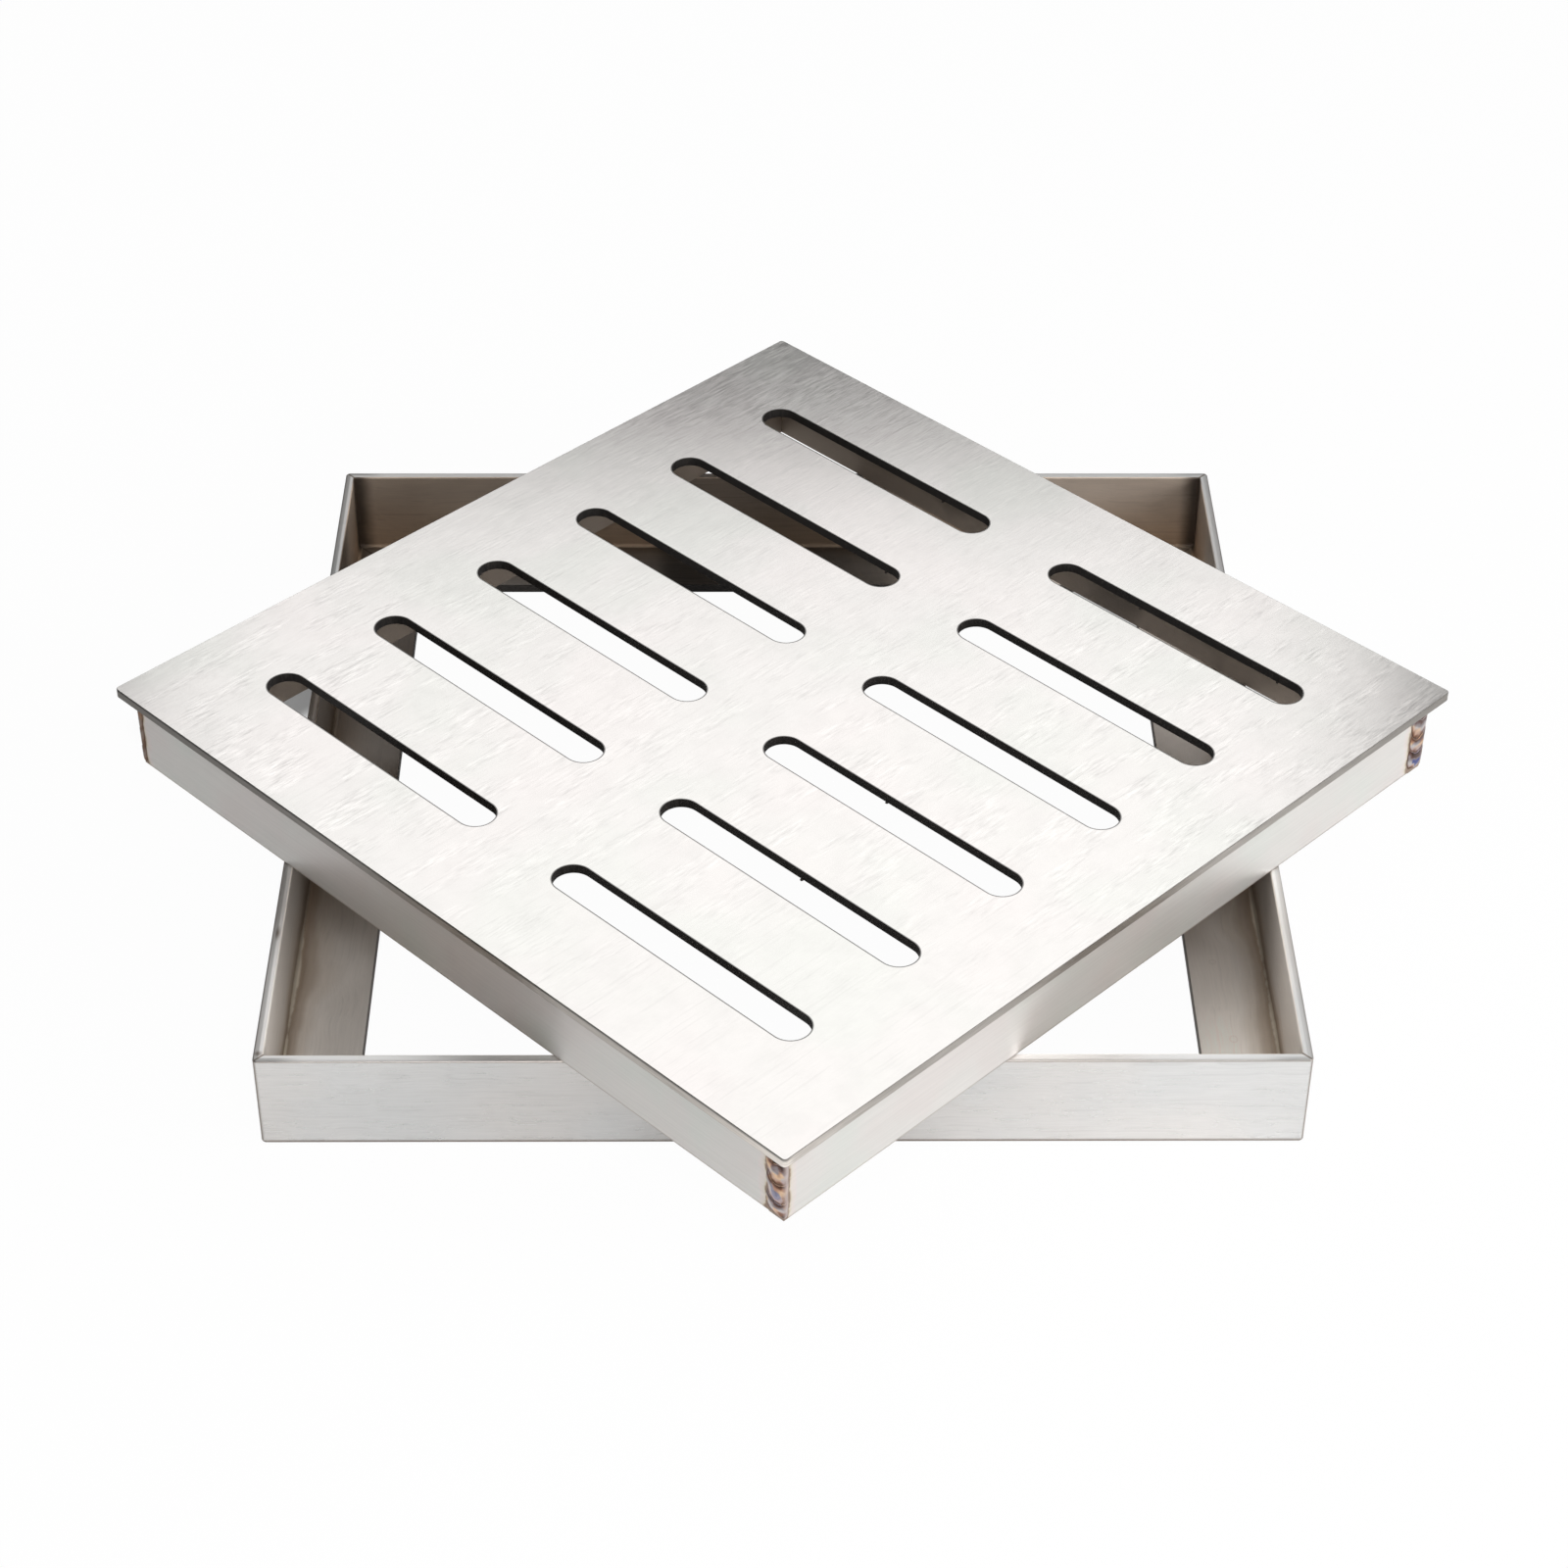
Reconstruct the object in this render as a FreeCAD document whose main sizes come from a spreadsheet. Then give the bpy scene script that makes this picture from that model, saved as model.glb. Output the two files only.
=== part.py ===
import FreeCAD, Part
import math
import os
import Sketcher
from FreeCAD import Vector

# Drain grate: an open frame of mitred angle section, and a slotted lid with a welded skirt.
# The lid lies across the frame's rim, turned by lid_angle, as it is put down when it is lifted out.
# The origin is on the floor under the middle of the lid. Lengths are in millimetres.

doc = FreeCAD.newDocument("drain_grate")

# Driving sizes
sizes = {
    # frame of angle section
    "frame_side": 300,
    "frame_height": 32,
    "flange_width": 26.5,
    "frame_wall": 3,
    "root_radius": 1.5,
    "rim_radius": 0.5,
    "heel_radius": 1,
    "corner_weld": 2.5,
    "corner_radius": 1.5,
    # lid plate and its slots; slot_shift is how far the rows stand off the plate's middle
    "lid_clearance": 2,
    "plate_thickness": 3,
    "plate_corner_radius": 1.2,
    "slot_width": 12,
    "slots_in_row": 6,
    "slot_side_margin": 37.5,
    "slot_end_margin": 30,
    "slot_row_gap": 30,
    "slot_shift": 0.8,
    # lid skirt of flat bars on edge
    "skirt_inset": 4.5,
    "skirt_wall": 6,
    "skirt_edge_radius": 0.4,
    # weld beads on the skirt's lapped corners
    "bead_width": 7,
    "bead_return": 1.5,
    "bead_crown": 0.5,
    "bead_nose": 0.3,
    "bead_stop": 0.8,
    # stitch welds between skirt and plate
    "stitch_leg": 3,
    "stitch_length": 20,
    "stitches_per_bar": 3,
    "stitch_margin": 35,
    # how the lid lies on the frame
    "lid_angle": 44.7,
    "frame_shift_x": -0.7,
    "frame_shift_y": 14.3,
}

# Sizes that follow from them. The lid drops into the frame with lid_clearance all round, and its
# skirt is as deep as makes the plate flush with the rim when the skirt stands on the flange.
fits = {
    "frame_half": "Sizes.frame_side / 2",
    "plate_half": "frame_half - Sizes.frame_wall - Sizes.lid_clearance",
    "skirt_half": "plate_half - Sizes.skirt_inset",
    "skirt_inner": "skirt_half - Sizes.skirt_wall",
    "skirt_height": "Sizes.frame_height - Sizes.frame_wall - Sizes.plate_thickness",
    "plate_level": "Sizes.frame_height + skirt_height",
    "slot_radius": "Sizes.slot_width / 2",
    "slot_length": "plate_half - Sizes.slot_end_margin - Sizes.slot_row_gap / 2",
    "slot_row_length": "2 * (plate_half - Sizes.slot_side_margin)",
    "first_slot_x": "Sizes.slot_side_margin - plate_half + Sizes.slot_shift",
    "slot_outer_y": "Sizes.slot_end_margin - plate_half + slot_radius",
    "slot_inner_y": "-Sizes.slot_row_gap / 2 - slot_radius",
    "stitch_row_length": "2 * (skirt_half - Sizes.stitch_margin)",
}


def make_sheet(name, cells, prefix):
    """A spreadsheet with one named value to a row."""
    sheet = doc.addObject("Spreadsheet::Sheet", name)
    for row, (alias, content) in enumerate(cells.items(), start=1):
        sheet.set("A%d" % row, alias)
        sheet.set("B%d" % row, prefix + str(content))
        sheet.setAlias("B%d" % row, alias)
    doc.recompute()
    return sheet


make_sheet("Sizes", sizes, "")
fit = make_sheet("Fits", fits, "=")


def same(first, second):
    return abs(first - second) < 1e-6


def new_body(label):
    body = doc.addObject("PartDesign::Body", label)
    body.Label = label
    return body


def origin_part(body, role):
    return [item for item in body.Origin.OriginFeatures if item.Role == role][0]


def new_sketch(body, name, role, offset="0"):
    """A sketch on one of the body's own planes, moved along the plane's normal by offset."""
    sketch = body.newObject("Sketcher::SketchObject", name)
    sketch.AttachmentSupport = [(origin_part(body, role), "")]
    sketch.MapMode = "FlatFace"
    sketch.setExpression(".AttachmentOffset.Base.z", offset)
    return sketch


def hold_point(sketch, edge, end, across, up):
    """Holds one end (1 or 2) or the centre (3) of an edge at two formulas from the sketch's origin."""
    point = sketch.getPoint(edge, end)
    for kind, now, formula in (("DistanceX", point.x, across), ("DistanceY", point.y, up)):
        index = sketch.addConstraint(Sketcher.Constraint(kind, -1, 1, edge, end, now))
        sketch.setExpression("Constraints[%d]" % index, formula)


def hold_radius(sketch, edge, formula):
    index = sketch.addConstraint(Sketcher.Constraint("Radius", edge, sketch.Geometry[edge].Radius))
    sketch.setExpression("Constraints[%d]" % index, formula)


def draw_polygon(sketch, corners):
    """A closed outline of straight lines. Each corner is a pair of formulas, in order round it."""
    first = sketch.GeometryCount
    count = len(corners)
    turns = [math.tau * (step + 0.1) / count for step in range(count)]
    ring = [Vector(math.cos(turn), math.sin(turn), 0) for turn in turns]
    for step in range(count):
        sketch.addGeometry(Part.LineSegment(ring[step], ring[(step + 1) % count]))
    for step in range(count):
        after = first + (step + 1) % count
        sketch.addConstraint(Sketcher.Constraint("Coincident", first + step, 2, after, 1))
    for step, (across, up) in enumerate(corners):
        hold_point(sketch, first + step, 1, across, up)


def pad(body, sketch, length, symmetric=False):
    feature = body.newObject("PartDesign::Pad", sketch.Name + "_pad")
    feature.Profile = sketch
    feature.SideType = "Symmetric" if symmetric else "One side"
    feature.setExpression("Length", length)
    doc.recompute()
    return feature


def cut_upwards(body, sketch):
    """A pocket from the sketch up through the whole body. It must take some metal away."""
    before = body.Shape.Volume
    feature = body.newObject("PartDesign::Pocket", sketch.Name + "_pocket")
    feature.Profile = sketch
    feature.Type = "ThroughAll"
    feature.Reversed = True
    doc.recompute()
    if not body.Shape.Volume < before:
        raise ValueError(body.Label + ": " + sketch.Name + " cuts nothing")
    return feature


def round_edges(body, name, radius, lines):
    """Rounds the edges that lie on any of the given lines. A line is two of x, y and z held fixed."""
    feature = body.Tip
    names = []
    for number, edge in enumerate(feature.Shape.Edges, start=1):
        points = [vertex.Point for vertex in edge.Vertexes]
        for line in lines:
            if all(same(getattr(point, axis), at) for point in points for axis, at in line.items()):
                names.append("Edge%d" % number)
    fillet = body.newObject("PartDesign::Fillet", name)
    fillet.Base = (feature, names)
    fillet.setExpression("Radius", radius)
    doc.recompute()
    return fillet


def repeat(body, feature, directions):
    """A pattern of one feature along one or two axes: (axis, formula of the length, count)."""
    pattern = body.newObject("PartDesign::LinearPattern", feature.Name + "_row")
    pattern.Originals = [feature]
    for suffix, (axis, length, count) in zip(("", "2"), directions):
        setattr(pattern, "Direction" + suffix, (origin_part(body, axis), [""]))
        pattern.setExpression("Length" + suffix, length)
        pattern.setExpression("Occurrences" + suffix, count)
    body.Tip = pattern
    doc.recompute()
    return pattern


def lay_frame_piece(body, quarter):
    """Frame pieces are drawn about the frame's middle, and turned to their side or corner."""
    body.setExpression(".Placement.Rotation.Angle", "%d deg" % (90 * quarter))
    body.setExpression(".Placement.Base.x", "Sizes.frame_shift_x")
    body.setExpression(".Placement.Base.y", "Sizes.frame_shift_y")


def lay_lid_piece(body, quarter, level):
    """Lid pieces are drawn about the lid's middle, and turned with the lid."""
    body.setExpression(".Placement.Rotation.Angle", "Sizes.lid_angle * 1 deg + %d deg" % (90 * quarter))
    body.setExpression(".Placement.Base.z", level)


def make_frame_angle(label, quarter):
    """One side of the frame, drawn as the front one: rim up, flange inwards, both ends mitred."""
    body = new_body(label)
    profile = new_sketch(body, "profile", "YZ_Plane")
    draw_polygon(profile, [
        ("-Fits.frame_half", "0"),
        ("Sizes.flange_width - Fits.frame_half", "0"),
        ("Sizes.flange_width - Fits.frame_half", "Sizes.frame_wall"),
        ("Sizes.frame_wall - Fits.frame_half", "Sizes.frame_wall"),
        ("Sizes.frame_wall - Fits.frame_half", "Sizes.frame_height"),
        ("-Fits.frame_half", "Sizes.frame_height"),
    ])
    pad(body, profile, "Sizes.frame_side", symmetric=True)
    outside = -fit.frame_half
    inside = outside + sizes["frame_wall"]
    toe = outside + sizes["flange_width"]
    round_edges(body, "root", "Sizes.root_radius", [{"y": inside, "z": sizes["frame_wall"]}])
    round_edges(body, "heel", "Sizes.heel_radius", [{"y": outside, "z": 0}])
    round_edges(body, "rim", "Sizes.rim_radius", [
        {"y": outside, "z": sizes["frame_height"]},
        {"y": inside, "z": sizes["frame_height"]},
        {"y": toe, "z": sizes["frame_wall"]},
    ])

    # Each mitre runs in at 45 degrees from the outer corner, where a notch is left for the weld.
    mitres = new_sketch(body, "mitres", "XY_Plane")
    over = "(Sizes.flange_width + Sizes.frame_wall)"
    for side in ("", "-"):
        draw_polygon(mitres, [
            (side + "(Fits.frame_half - Sizes.corner_weld)", "Sizes.corner_weld - Fits.frame_half"),
            (side + "(Fits.frame_half - Sizes.corner_weld)", "-Fits.frame_half - Sizes.frame_wall"),
            (side + "(Fits.frame_half + Sizes.frame_wall)", "-Fits.frame_half - Sizes.frame_wall"),
            (side + "(Fits.frame_half + Sizes.frame_wall)", over + " - Fits.frame_half"),
            (side + "(Fits.frame_half - " + over + ")", over + " - Fits.frame_half"),
        ])
    cut_upwards(body, mitres)
    lay_frame_piece(body, quarter)
    return body


def make_frame_weld(label, quarter):
    """Weld metal that fills the notch outside a mitre, ground flush and eased on the corner."""
    body = new_body(label)
    section = new_sketch(body, "section", "XY_Plane")
    draw_polygon(section, [
        ("Fits.frame_half - Sizes.corner_weld", "-Fits.frame_half"),
        ("Fits.frame_half", "-Fits.frame_half"),
        ("Fits.frame_half", "Sizes.corner_weld - Fits.frame_half"),
        ("Fits.frame_half - Sizes.corner_weld", "Sizes.corner_weld - Fits.frame_half"),
    ])
    pad(body, section, "Sizes.frame_height")
    half = fit.frame_half
    top = sizes["frame_height"]
    round_edges(body, "corner", "Sizes.corner_radius", [{"x": half, "y": -half}])
    round_edges(body, "heel", "Sizes.heel_radius", [{"y": -half, "z": 0}, {"x": half, "z": 0}])
    round_edges(body, "rim", "Sizes.rim_radius", [{"y": -half, "z": top}, {"x": half, "z": top}])
    lay_frame_piece(body, quarter)
    return body


def make_plate(label):
    """The flat lid plate with two rows of round-ended slots."""
    body = new_body(label)
    outline = new_sketch(body, "outline", "XY_Plane")
    draw_polygon(outline, [
        ("-Fits.plate_half", "-Fits.plate_half"),
        ("Fits.plate_half", "-Fits.plate_half"),
        ("Fits.plate_half", "Fits.plate_half"),
        ("-Fits.plate_half", "Fits.plate_half"),
    ])
    pad(body, outline, "Sizes.plate_thickness")
    half = fit.plate_half
    round_edges(body, "corners", "Sizes.plate_corner_radius", [
        {"x": -half, "y": -half},
        {"x": half, "y": -half},
        {"x": half, "y": half},
        {"x": -half, "y": half},
    ])

    # The slot at the left end of the near row, as two half circles joined by straight sides
    slot = new_sketch(body, "slot", "XY_Plane")
    up = Vector(0, 0, 1)
    middle = fit.first_slot_x
    radius = fit.slot_radius
    low = Part.Circle(Vector(middle, fit.slot_outer_y, 0), up, radius)
    high = Part.Circle(Vector(middle, fit.slot_inner_y, 0), up, radius)
    slot.addGeometry(Part.ArcOfCircle(low, math.pi, math.tau))
    slot.addGeometry(Part.LineSegment(Vector(middle + radius, fit.slot_outer_y, 0),
                                      Vector(middle + radius, fit.slot_inner_y, 0)))
    slot.addGeometry(Part.ArcOfCircle(high, 0, math.pi))
    slot.addGeometry(Part.LineSegment(Vector(middle - radius, fit.slot_inner_y, 0),
                                      Vector(middle - radius, fit.slot_outer_y, 0)))
    for edge in range(4):
        slot.addConstraint(Sketcher.Constraint("Tangent", edge, 2, (edge + 1) % 4, 1))
    hold_point(slot, 0, 3, "Fits.first_slot_x", "Fits.slot_outer_y")
    hold_point(slot, 2, 3, "Fits.first_slot_x", "Fits.slot_inner_y")
    hold_radius(slot, 0, "Fits.slot_radius")
    hold_radius(slot, 2, "Fits.slot_radius")
    one = cut_upwards(body, slot)
    repeat(body, one, [
        ("X_Axis", "Fits.slot_row_length", "Sizes.slots_in_row"),
        ("Y_Axis", "Fits.slot_length + Sizes.slot_row_gap", "2"),
    ])
    lay_lid_piece(body, 0, "Fits.plate_level")
    return body


def make_skirt_bar(label, quarter):
    """A flat bar on edge. One end laps the bar before it, and the other butts on the bar after it."""
    body = new_body(label)
    section = new_sketch(body, "section", "XY_Plane")
    draw_polygon(section, [
        ("-Fits.skirt_half", "-Fits.skirt_half"),
        ("Fits.skirt_inner", "-Fits.skirt_half"),
        ("Fits.skirt_inner", "-Fits.skirt_inner"),
        ("-Fits.skirt_half", "-Fits.skirt_inner"),
    ])
    pad(body, section, "Fits.skirt_height")
    round_edges(body, "edges", "Sizes.skirt_edge_radius", [
        {"y": -fit.skirt_half, "z": 0},
        {"y": -fit.skirt_inner, "z": 0},
    ])
    lay_lid_piece(body, quarter, "Sizes.frame_height")
    return body


def arc_through(start, end, radius):
    """The shallow arc from start to end that bulges to the right of that direction."""
    chord = end - start
    reach = chord.Length / 2
    left = Vector(-chord.y, chord.x, 0).normalize()
    centre = start + chord / 2 + left * math.sqrt(radius ** 2 - reach ** 2)
    begin = math.atan2(start.y - centre.y, start.x - centre.x)
    finish = math.atan2(end.y - centre.y, end.x - centre.x)
    return Part.ArcOfCircle(Part.Circle(centre, Vector(0, 0, 1), radius), begin, finish)


def bead_radius(width, crown):
    """The radius of an arc of that width and crown, as a number and as a formula."""
    number = (sizes[width] ** 2 / 4 + sizes[crown] ** 2) / (2 * sizes[crown])
    formula = "(Sizes.%s ^ 2 / 4 + Sizes.%s ^ 2) / (2 * Sizes.%s)" % (width, crown, crown)
    return number, formula


def make_skirt_weld(label, quarter):
    """A bead up the lapped corner: wide over the seam, round the corner edge, and a short return."""
    body = new_body(label)
    section = new_sketch(body, "section", "XY_Plane", "Sizes.bead_stop")
    half = fit.skirt_half
    toe = Vector(half - sizes["bead_width"], -half, 0)
    nose = Vector(half + sizes["bead_nose"], -half - sizes["bead_nose"], 0)
    heel = Vector(half, sizes["bead_return"] - half, 0)
    corner = Vector(half, -half, 0)
    face_radius, face_formula = bead_radius("bead_width", "bead_crown")
    return_radius, return_formula = bead_radius("bead_return", "bead_nose")
    section.addGeometry(arc_through(toe, nose, face_radius))
    section.addGeometry(arc_through(nose, heel, return_radius))
    section.addGeometry(Part.LineSegment(heel, corner))
    section.addGeometry(Part.LineSegment(corner, toe))
    for edge in range(4):
        section.addConstraint(Sketcher.Constraint("Coincident", edge, 2, (edge + 1) % 4, 1))
    hold_point(section, 0, 1, "Fits.skirt_half - Sizes.bead_width", "-Fits.skirt_half")
    hold_point(section, 1, 1, "Fits.skirt_half + Sizes.bead_nose", "-Fits.skirt_half - Sizes.bead_nose")
    hold_point(section, 2, 1, "Fits.skirt_half", "Sizes.bead_return - Fits.skirt_half")
    hold_point(section, 3, 1, "Fits.skirt_half", "-Fits.skirt_half")
    hold_radius(section, 0, face_formula)
    hold_radius(section, 1, return_formula)
    pad(body, section, "Fits.skirt_height - Sizes.bead_stop")
    lay_lid_piece(body, quarter, "Sizes.frame_height")
    return body


def make_stitches(label, quarter):
    """Short fillet welds in the angle between a bar's inner face and the plate's underside."""
    body = new_body(label)
    body.AllowCompound = True
    section = new_sketch(body, "section", "YZ_Plane", "Sizes.stitch_margin - Fits.skirt_half")
    draw_polygon(section, [
        ("-Fits.skirt_inner", "Fits.skirt_height"),
        ("-Fits.skirt_inner", "Fits.skirt_height - Sizes.stitch_leg"),
        ("Sizes.stitch_leg - Fits.skirt_inner", "Fits.skirt_height"),
    ])
    one = pad(body, section, "Sizes.stitch_length", symmetric=True)
    repeat(body, one, [("X_Axis", "Fits.stitch_row_length", "Sizes.stitches_per_bar")])
    lay_lid_piece(body, quarter, "Sizes.frame_height")
    return body


# The frame, anticlockwise from the front
nodes = []
for quarter, side in enumerate(("front", "right", "back", "left")):
    nodes.append(make_frame_angle("frame_" + side, quarter))
for quarter, corner in enumerate(("front_right", "back_right", "back_left", "front_left")):
    nodes.append(make_frame_weld("frame_weld_" + corner, quarter))

# The lid, anticlockwise from its front right edge
nodes.append(make_plate("slotted_plate"))
for quarter, side in enumerate(("front_right", "back_right", "back_left", "front_left")):
    nodes.append(make_skirt_bar("skirt_" + side, quarter))
    nodes.append(make_stitches("plate_stitches_" + side, quarter))
for quarter, corner in enumerate(("right", "far", "left", "near")):
    nodes.append(make_skirt_weld("skirt_weld_" + corner, quarter))

doc.recompute()
for item in doc.Objects:
    if "Invalid" in item.State or "Error" in item.State:
        raise ValueError(item.Label + " failed to build")
for node in nodes:
    if node.Shape.isNull() or not node.Shape.isValid():
        raise ValueError(node.Label + " has no sound shape")

os.makedirs("parts", exist_ok=True)
for node in nodes:
    node.Shape.exportStep("parts/" + node.Label + ".step")
    print(node.Label, round(node.Shape.Volume, 1))
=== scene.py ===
import math

import bpy
from mathutils import Matrix, Vector


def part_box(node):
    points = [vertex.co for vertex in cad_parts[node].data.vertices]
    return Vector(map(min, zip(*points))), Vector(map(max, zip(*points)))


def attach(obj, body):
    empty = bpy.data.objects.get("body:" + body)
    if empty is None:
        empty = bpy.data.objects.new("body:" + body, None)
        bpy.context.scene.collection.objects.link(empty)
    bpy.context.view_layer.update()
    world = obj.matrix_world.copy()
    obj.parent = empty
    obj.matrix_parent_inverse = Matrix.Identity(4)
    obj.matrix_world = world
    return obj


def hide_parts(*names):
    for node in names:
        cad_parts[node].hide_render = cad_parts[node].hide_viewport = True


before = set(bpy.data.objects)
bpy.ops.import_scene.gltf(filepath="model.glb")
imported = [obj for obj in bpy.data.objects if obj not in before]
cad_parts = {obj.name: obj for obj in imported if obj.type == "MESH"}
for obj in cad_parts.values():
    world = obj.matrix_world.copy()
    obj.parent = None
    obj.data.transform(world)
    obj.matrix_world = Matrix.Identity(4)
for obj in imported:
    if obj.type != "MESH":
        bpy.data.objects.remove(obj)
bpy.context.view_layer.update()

# Stainless drain grate: a slotted lid with a welded skirt, lying turned on its open frame.
# Everything is in metres, about the point on the floor under the middle of the lid.

mm = 0.001
root = "root"
halfRoot = 0.7071                # the square root of a half


# Node helpers

class Value:
    # an output socket to reckon with: every operator adds one Math node
    def __init__(self, socket):
        self.socket = socket
        self.tree = socket.id_data

    __add__ = lambda self, other: calc("ADD", self, other)
    __radd__ = lambda self, other: calc("ADD", other, self)
    __sub__ = lambda self, other: calc("SUBTRACT", self, other)
    __rsub__ = lambda self, other: calc("SUBTRACT", other, self)
    __mul__ = lambda self, other: calc("MULTIPLY", self, other)
    __rmul__ = lambda self, other: calc("MULTIPLY", other, self)
    __truediv__ = lambda self, other: calc("DIVIDE", self, other)
    __rtruediv__ = lambda self, other: calc("DIVIDE", other, self)
    __lt__ = lambda self, other: calc("LESS_THAN", self, other)
    __gt__ = lambda self, other: calc("GREATER_THAN", self, other)
    __abs__ = lambda self: calc("ABSOLUTE", self)


def treeOf(values):
    return next(value.tree for value in values if isinstance(value, Value))


def plug(socket, value):
    # value: a Value, a bare output socket, or what an unlinked socket takes
    value = value.socket if isinstance(value, Value) else value
    if isinstance(value, bpy.types.NodeSocket):
        socket.id_data.links.new(value, socket)
    else:
        socket.default_value = value


def addNode(tree, kind, sockets=None, **settings):
    node = tree.nodes.new(kind)
    for name, value in settings.items():
        setattr(node, name, value)
    for key, value in (sockets or {}).items():
        plug(node.inputs[key], value)
    return node


def valueOf(tree, kind, sockets=None, key=0, **settings):
    # one output of a new node
    return Value(addNode(tree, kind, sockets, **settings).outputs[key])


def geometry(tree, kind, *sockets, **settings):
    return valueOf(tree, "GeometryNode" + kind, *sockets, **settings)


def namedValues(node):
    return {socket.name: Value(socket) for socket in node.outputs}


def calc(operation, *values):
    return valueOf(treeOf(values), "ShaderNodeMath", dict(enumerate(values)), operation=operation)


def larger(first, second):
    return calc("MAXIMUM", first, second)


def smaller(first, second):
    return calc("MINIMUM", first, second)


def vectorCalc(operation, *values, key=0):
    return valueOf(treeOf(values), "ShaderNodeVectorMath", dict(enumerate(values)), key, operation=operation)


def span(value, low, high, toLow=0.0, toHigh=1.0, kind="SMOOTHSTEP"):
    # takes low..high to toLow..toHigh, with soft ends
    sockets = {"Value": value, "From Min": low, "From Max": high, "To Min": toLow, "To Max": toHigh}
    return valueOf(value.tree, "ShaderNodeMapRange", sockets, "Result", interpolation_type=kind)


def fade(value, low, high, strength=1.0):
    # falls from its strength at low to nothing at high
    return span(value, low, high, strength, 0.0)


def blendColour(amount, first, second, kind="MIX"):
    sockets = {0: amount, 6: first, 7: second}
    return valueOf(treeOf(sockets.values()), "ShaderNodeMix", sockets, 2, data_type="RGBA", blend_type=kind)


def colourRamp(value, stops):
    node = addNode(value.tree, "ShaderNodeValToRGB", {0: value})
    ramp = node.color_ramp
    ramp.interpolation = "EASE"
    while len(ramp.elements) < len(stops):
        ramp.elements.new(1.0)
    for element, (place, colour) in zip(ramp.elements, stops):
        element.position = place
        element.color = (*colour, 1.0)
    return Value(node.outputs[0])


def noiseAt(vector, scale, detail=2.0, roughness=0.5):
    sockets = {"Vector": vector, "Scale": scale, "Detail": detail, "Roughness": roughness}
    return valueOf(vector.tree, "ShaderNodeTexNoise", sockets, noise_type="FBM")


def splitXyz(vector):
    return [Value(socket) for socket in addNode(vector.tree, "ShaderNodeSeparateXYZ", {0: vector}).outputs]


def joinXyz(*parts):
    return valueOf(treeOf(parts), "ShaderNodeCombineXYZ", dict(enumerate(parts)))


def newGroup(name, inputs, outputs, kind="ShaderNodeTree"):
    # a node group with named sockets: (name, kind of socket) and a start value where there is one
    group = bpy.data.node_groups.new(name, kind)
    for label, socketType, *start in inputs:
        socket = group.interface.new_socket(label, in_out="INPUT", socket_type="NodeSocket" + socketType)
        if start:
            socket.default_value = start[0]
    for label, socketType in outputs:
        group.interface.new_socket(label, in_out="OUTPUT", socket_type="NodeSocket" + socketType)
    given = namedValues(group.nodes.new("NodeGroupInput"))
    return group, given, group.nodes.new("NodeGroupOutput").inputs


def useGroup(group, **sockets):
    # places a group; a socket's name is its label without the spaces
    node = treeOf(sockets.values()).nodes.new("ShaderNodeGroup")
    node.node_tree = group
    for socket in node.inputs:
        key = socket.name.replace(" ", "")
        if key in sockets:
            plug(socket, sockets[key])
    return [Value(socket) for socket in node.outputs]


def newObject(name, data):
    item = bpy.data.objects.new(name, data)
    bpy.context.scene.collection.objects.link(item)
    return item


# Sizes, read back from the frame's boxes

lidAngle = math.radians(44.7)
diagonal = math.cos(lidAngle) + math.sin(lidAngle)      # how far a turned square's corner reaches
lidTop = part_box("slotted_plate")[1].z
plateCorner = 1.2 * mm                                   # rounding of the plate's corners
lidReach = (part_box("slotted_plate")[1].x - plateCorner) / diagonal + plateCorner
barLow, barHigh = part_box("skirt_front_right")
skirtFoot, skirtTop = barLow.z, barHigh.z
skirtReach = -barLow.y / diagonal
skirtInner = (barHigh.x - skirtReach * math.sin(lidAngle)) / math.cos(lidAngle)
rimLow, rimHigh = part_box("frame_weld_front_left")[0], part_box("frame_weld_back_right")[1]
frameMiddle = Vector(((rimLow.x + rimHigh.x) / 2, (rimLow.y + rimHigh.y) / 2, 0))
frameReach = (rimHigh.x - rimLow.x) / 2
rimTop = rimHigh.z
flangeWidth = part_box("frame_front")[1].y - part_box("frame_front")[0].y
sheet = lidTop - skirtTop                               # plate and angle are as thick
print("lid reach", round(lidReach, 5), "skirt reach", round(skirtReach, 5),
      "frame reach", round(frameReach, 5))


# Camera, floor and light

photoCamera = {
    "place": (-9.68 * mm, -867.68 * mm, 713.72 * mm),
    "turnRight": 0.669,          # degrees, from straight back
    "tiltDown": 38.477,
    "roll": 0.371,
    "focalPixels": 3606.0,       # in a picture 1600 pixels wide
    "pictureWidth": 1600,
}

studio = {
    "floorTone": 0.93,
    "floorGlow": 0.97,           # how white the camera sees the floor; the rest keeps the shadow
    "floorGlowInSteel": 0.11,
    "shadeUnderLid": 0.86,       # where the floor under the lid stays in shadow
    "skyLeft": 0.14,             # the room is brighter on the right
    "skyRight": 0.57,
    "darkBackLevel": 0.10,       # the dark wall behind the table, below the soft box
    "softBoxes": {               # place, width and height, power in watts
        "backBox": ((-0.005, 1.10, 1.33), (1.02, 1.12), 3.27),
        "rightBox": ((1.00, -0.35, 0.42), (0.55, 0.55), 7.5),
        "frontBox": ((-0.12, -1.10, 0.30), (0.80, 0.40), 3.6),
        "nearLamp": ((0.0, -0.50, 0.55), (0.25, 0.25), 1.0),
    },
}


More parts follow.
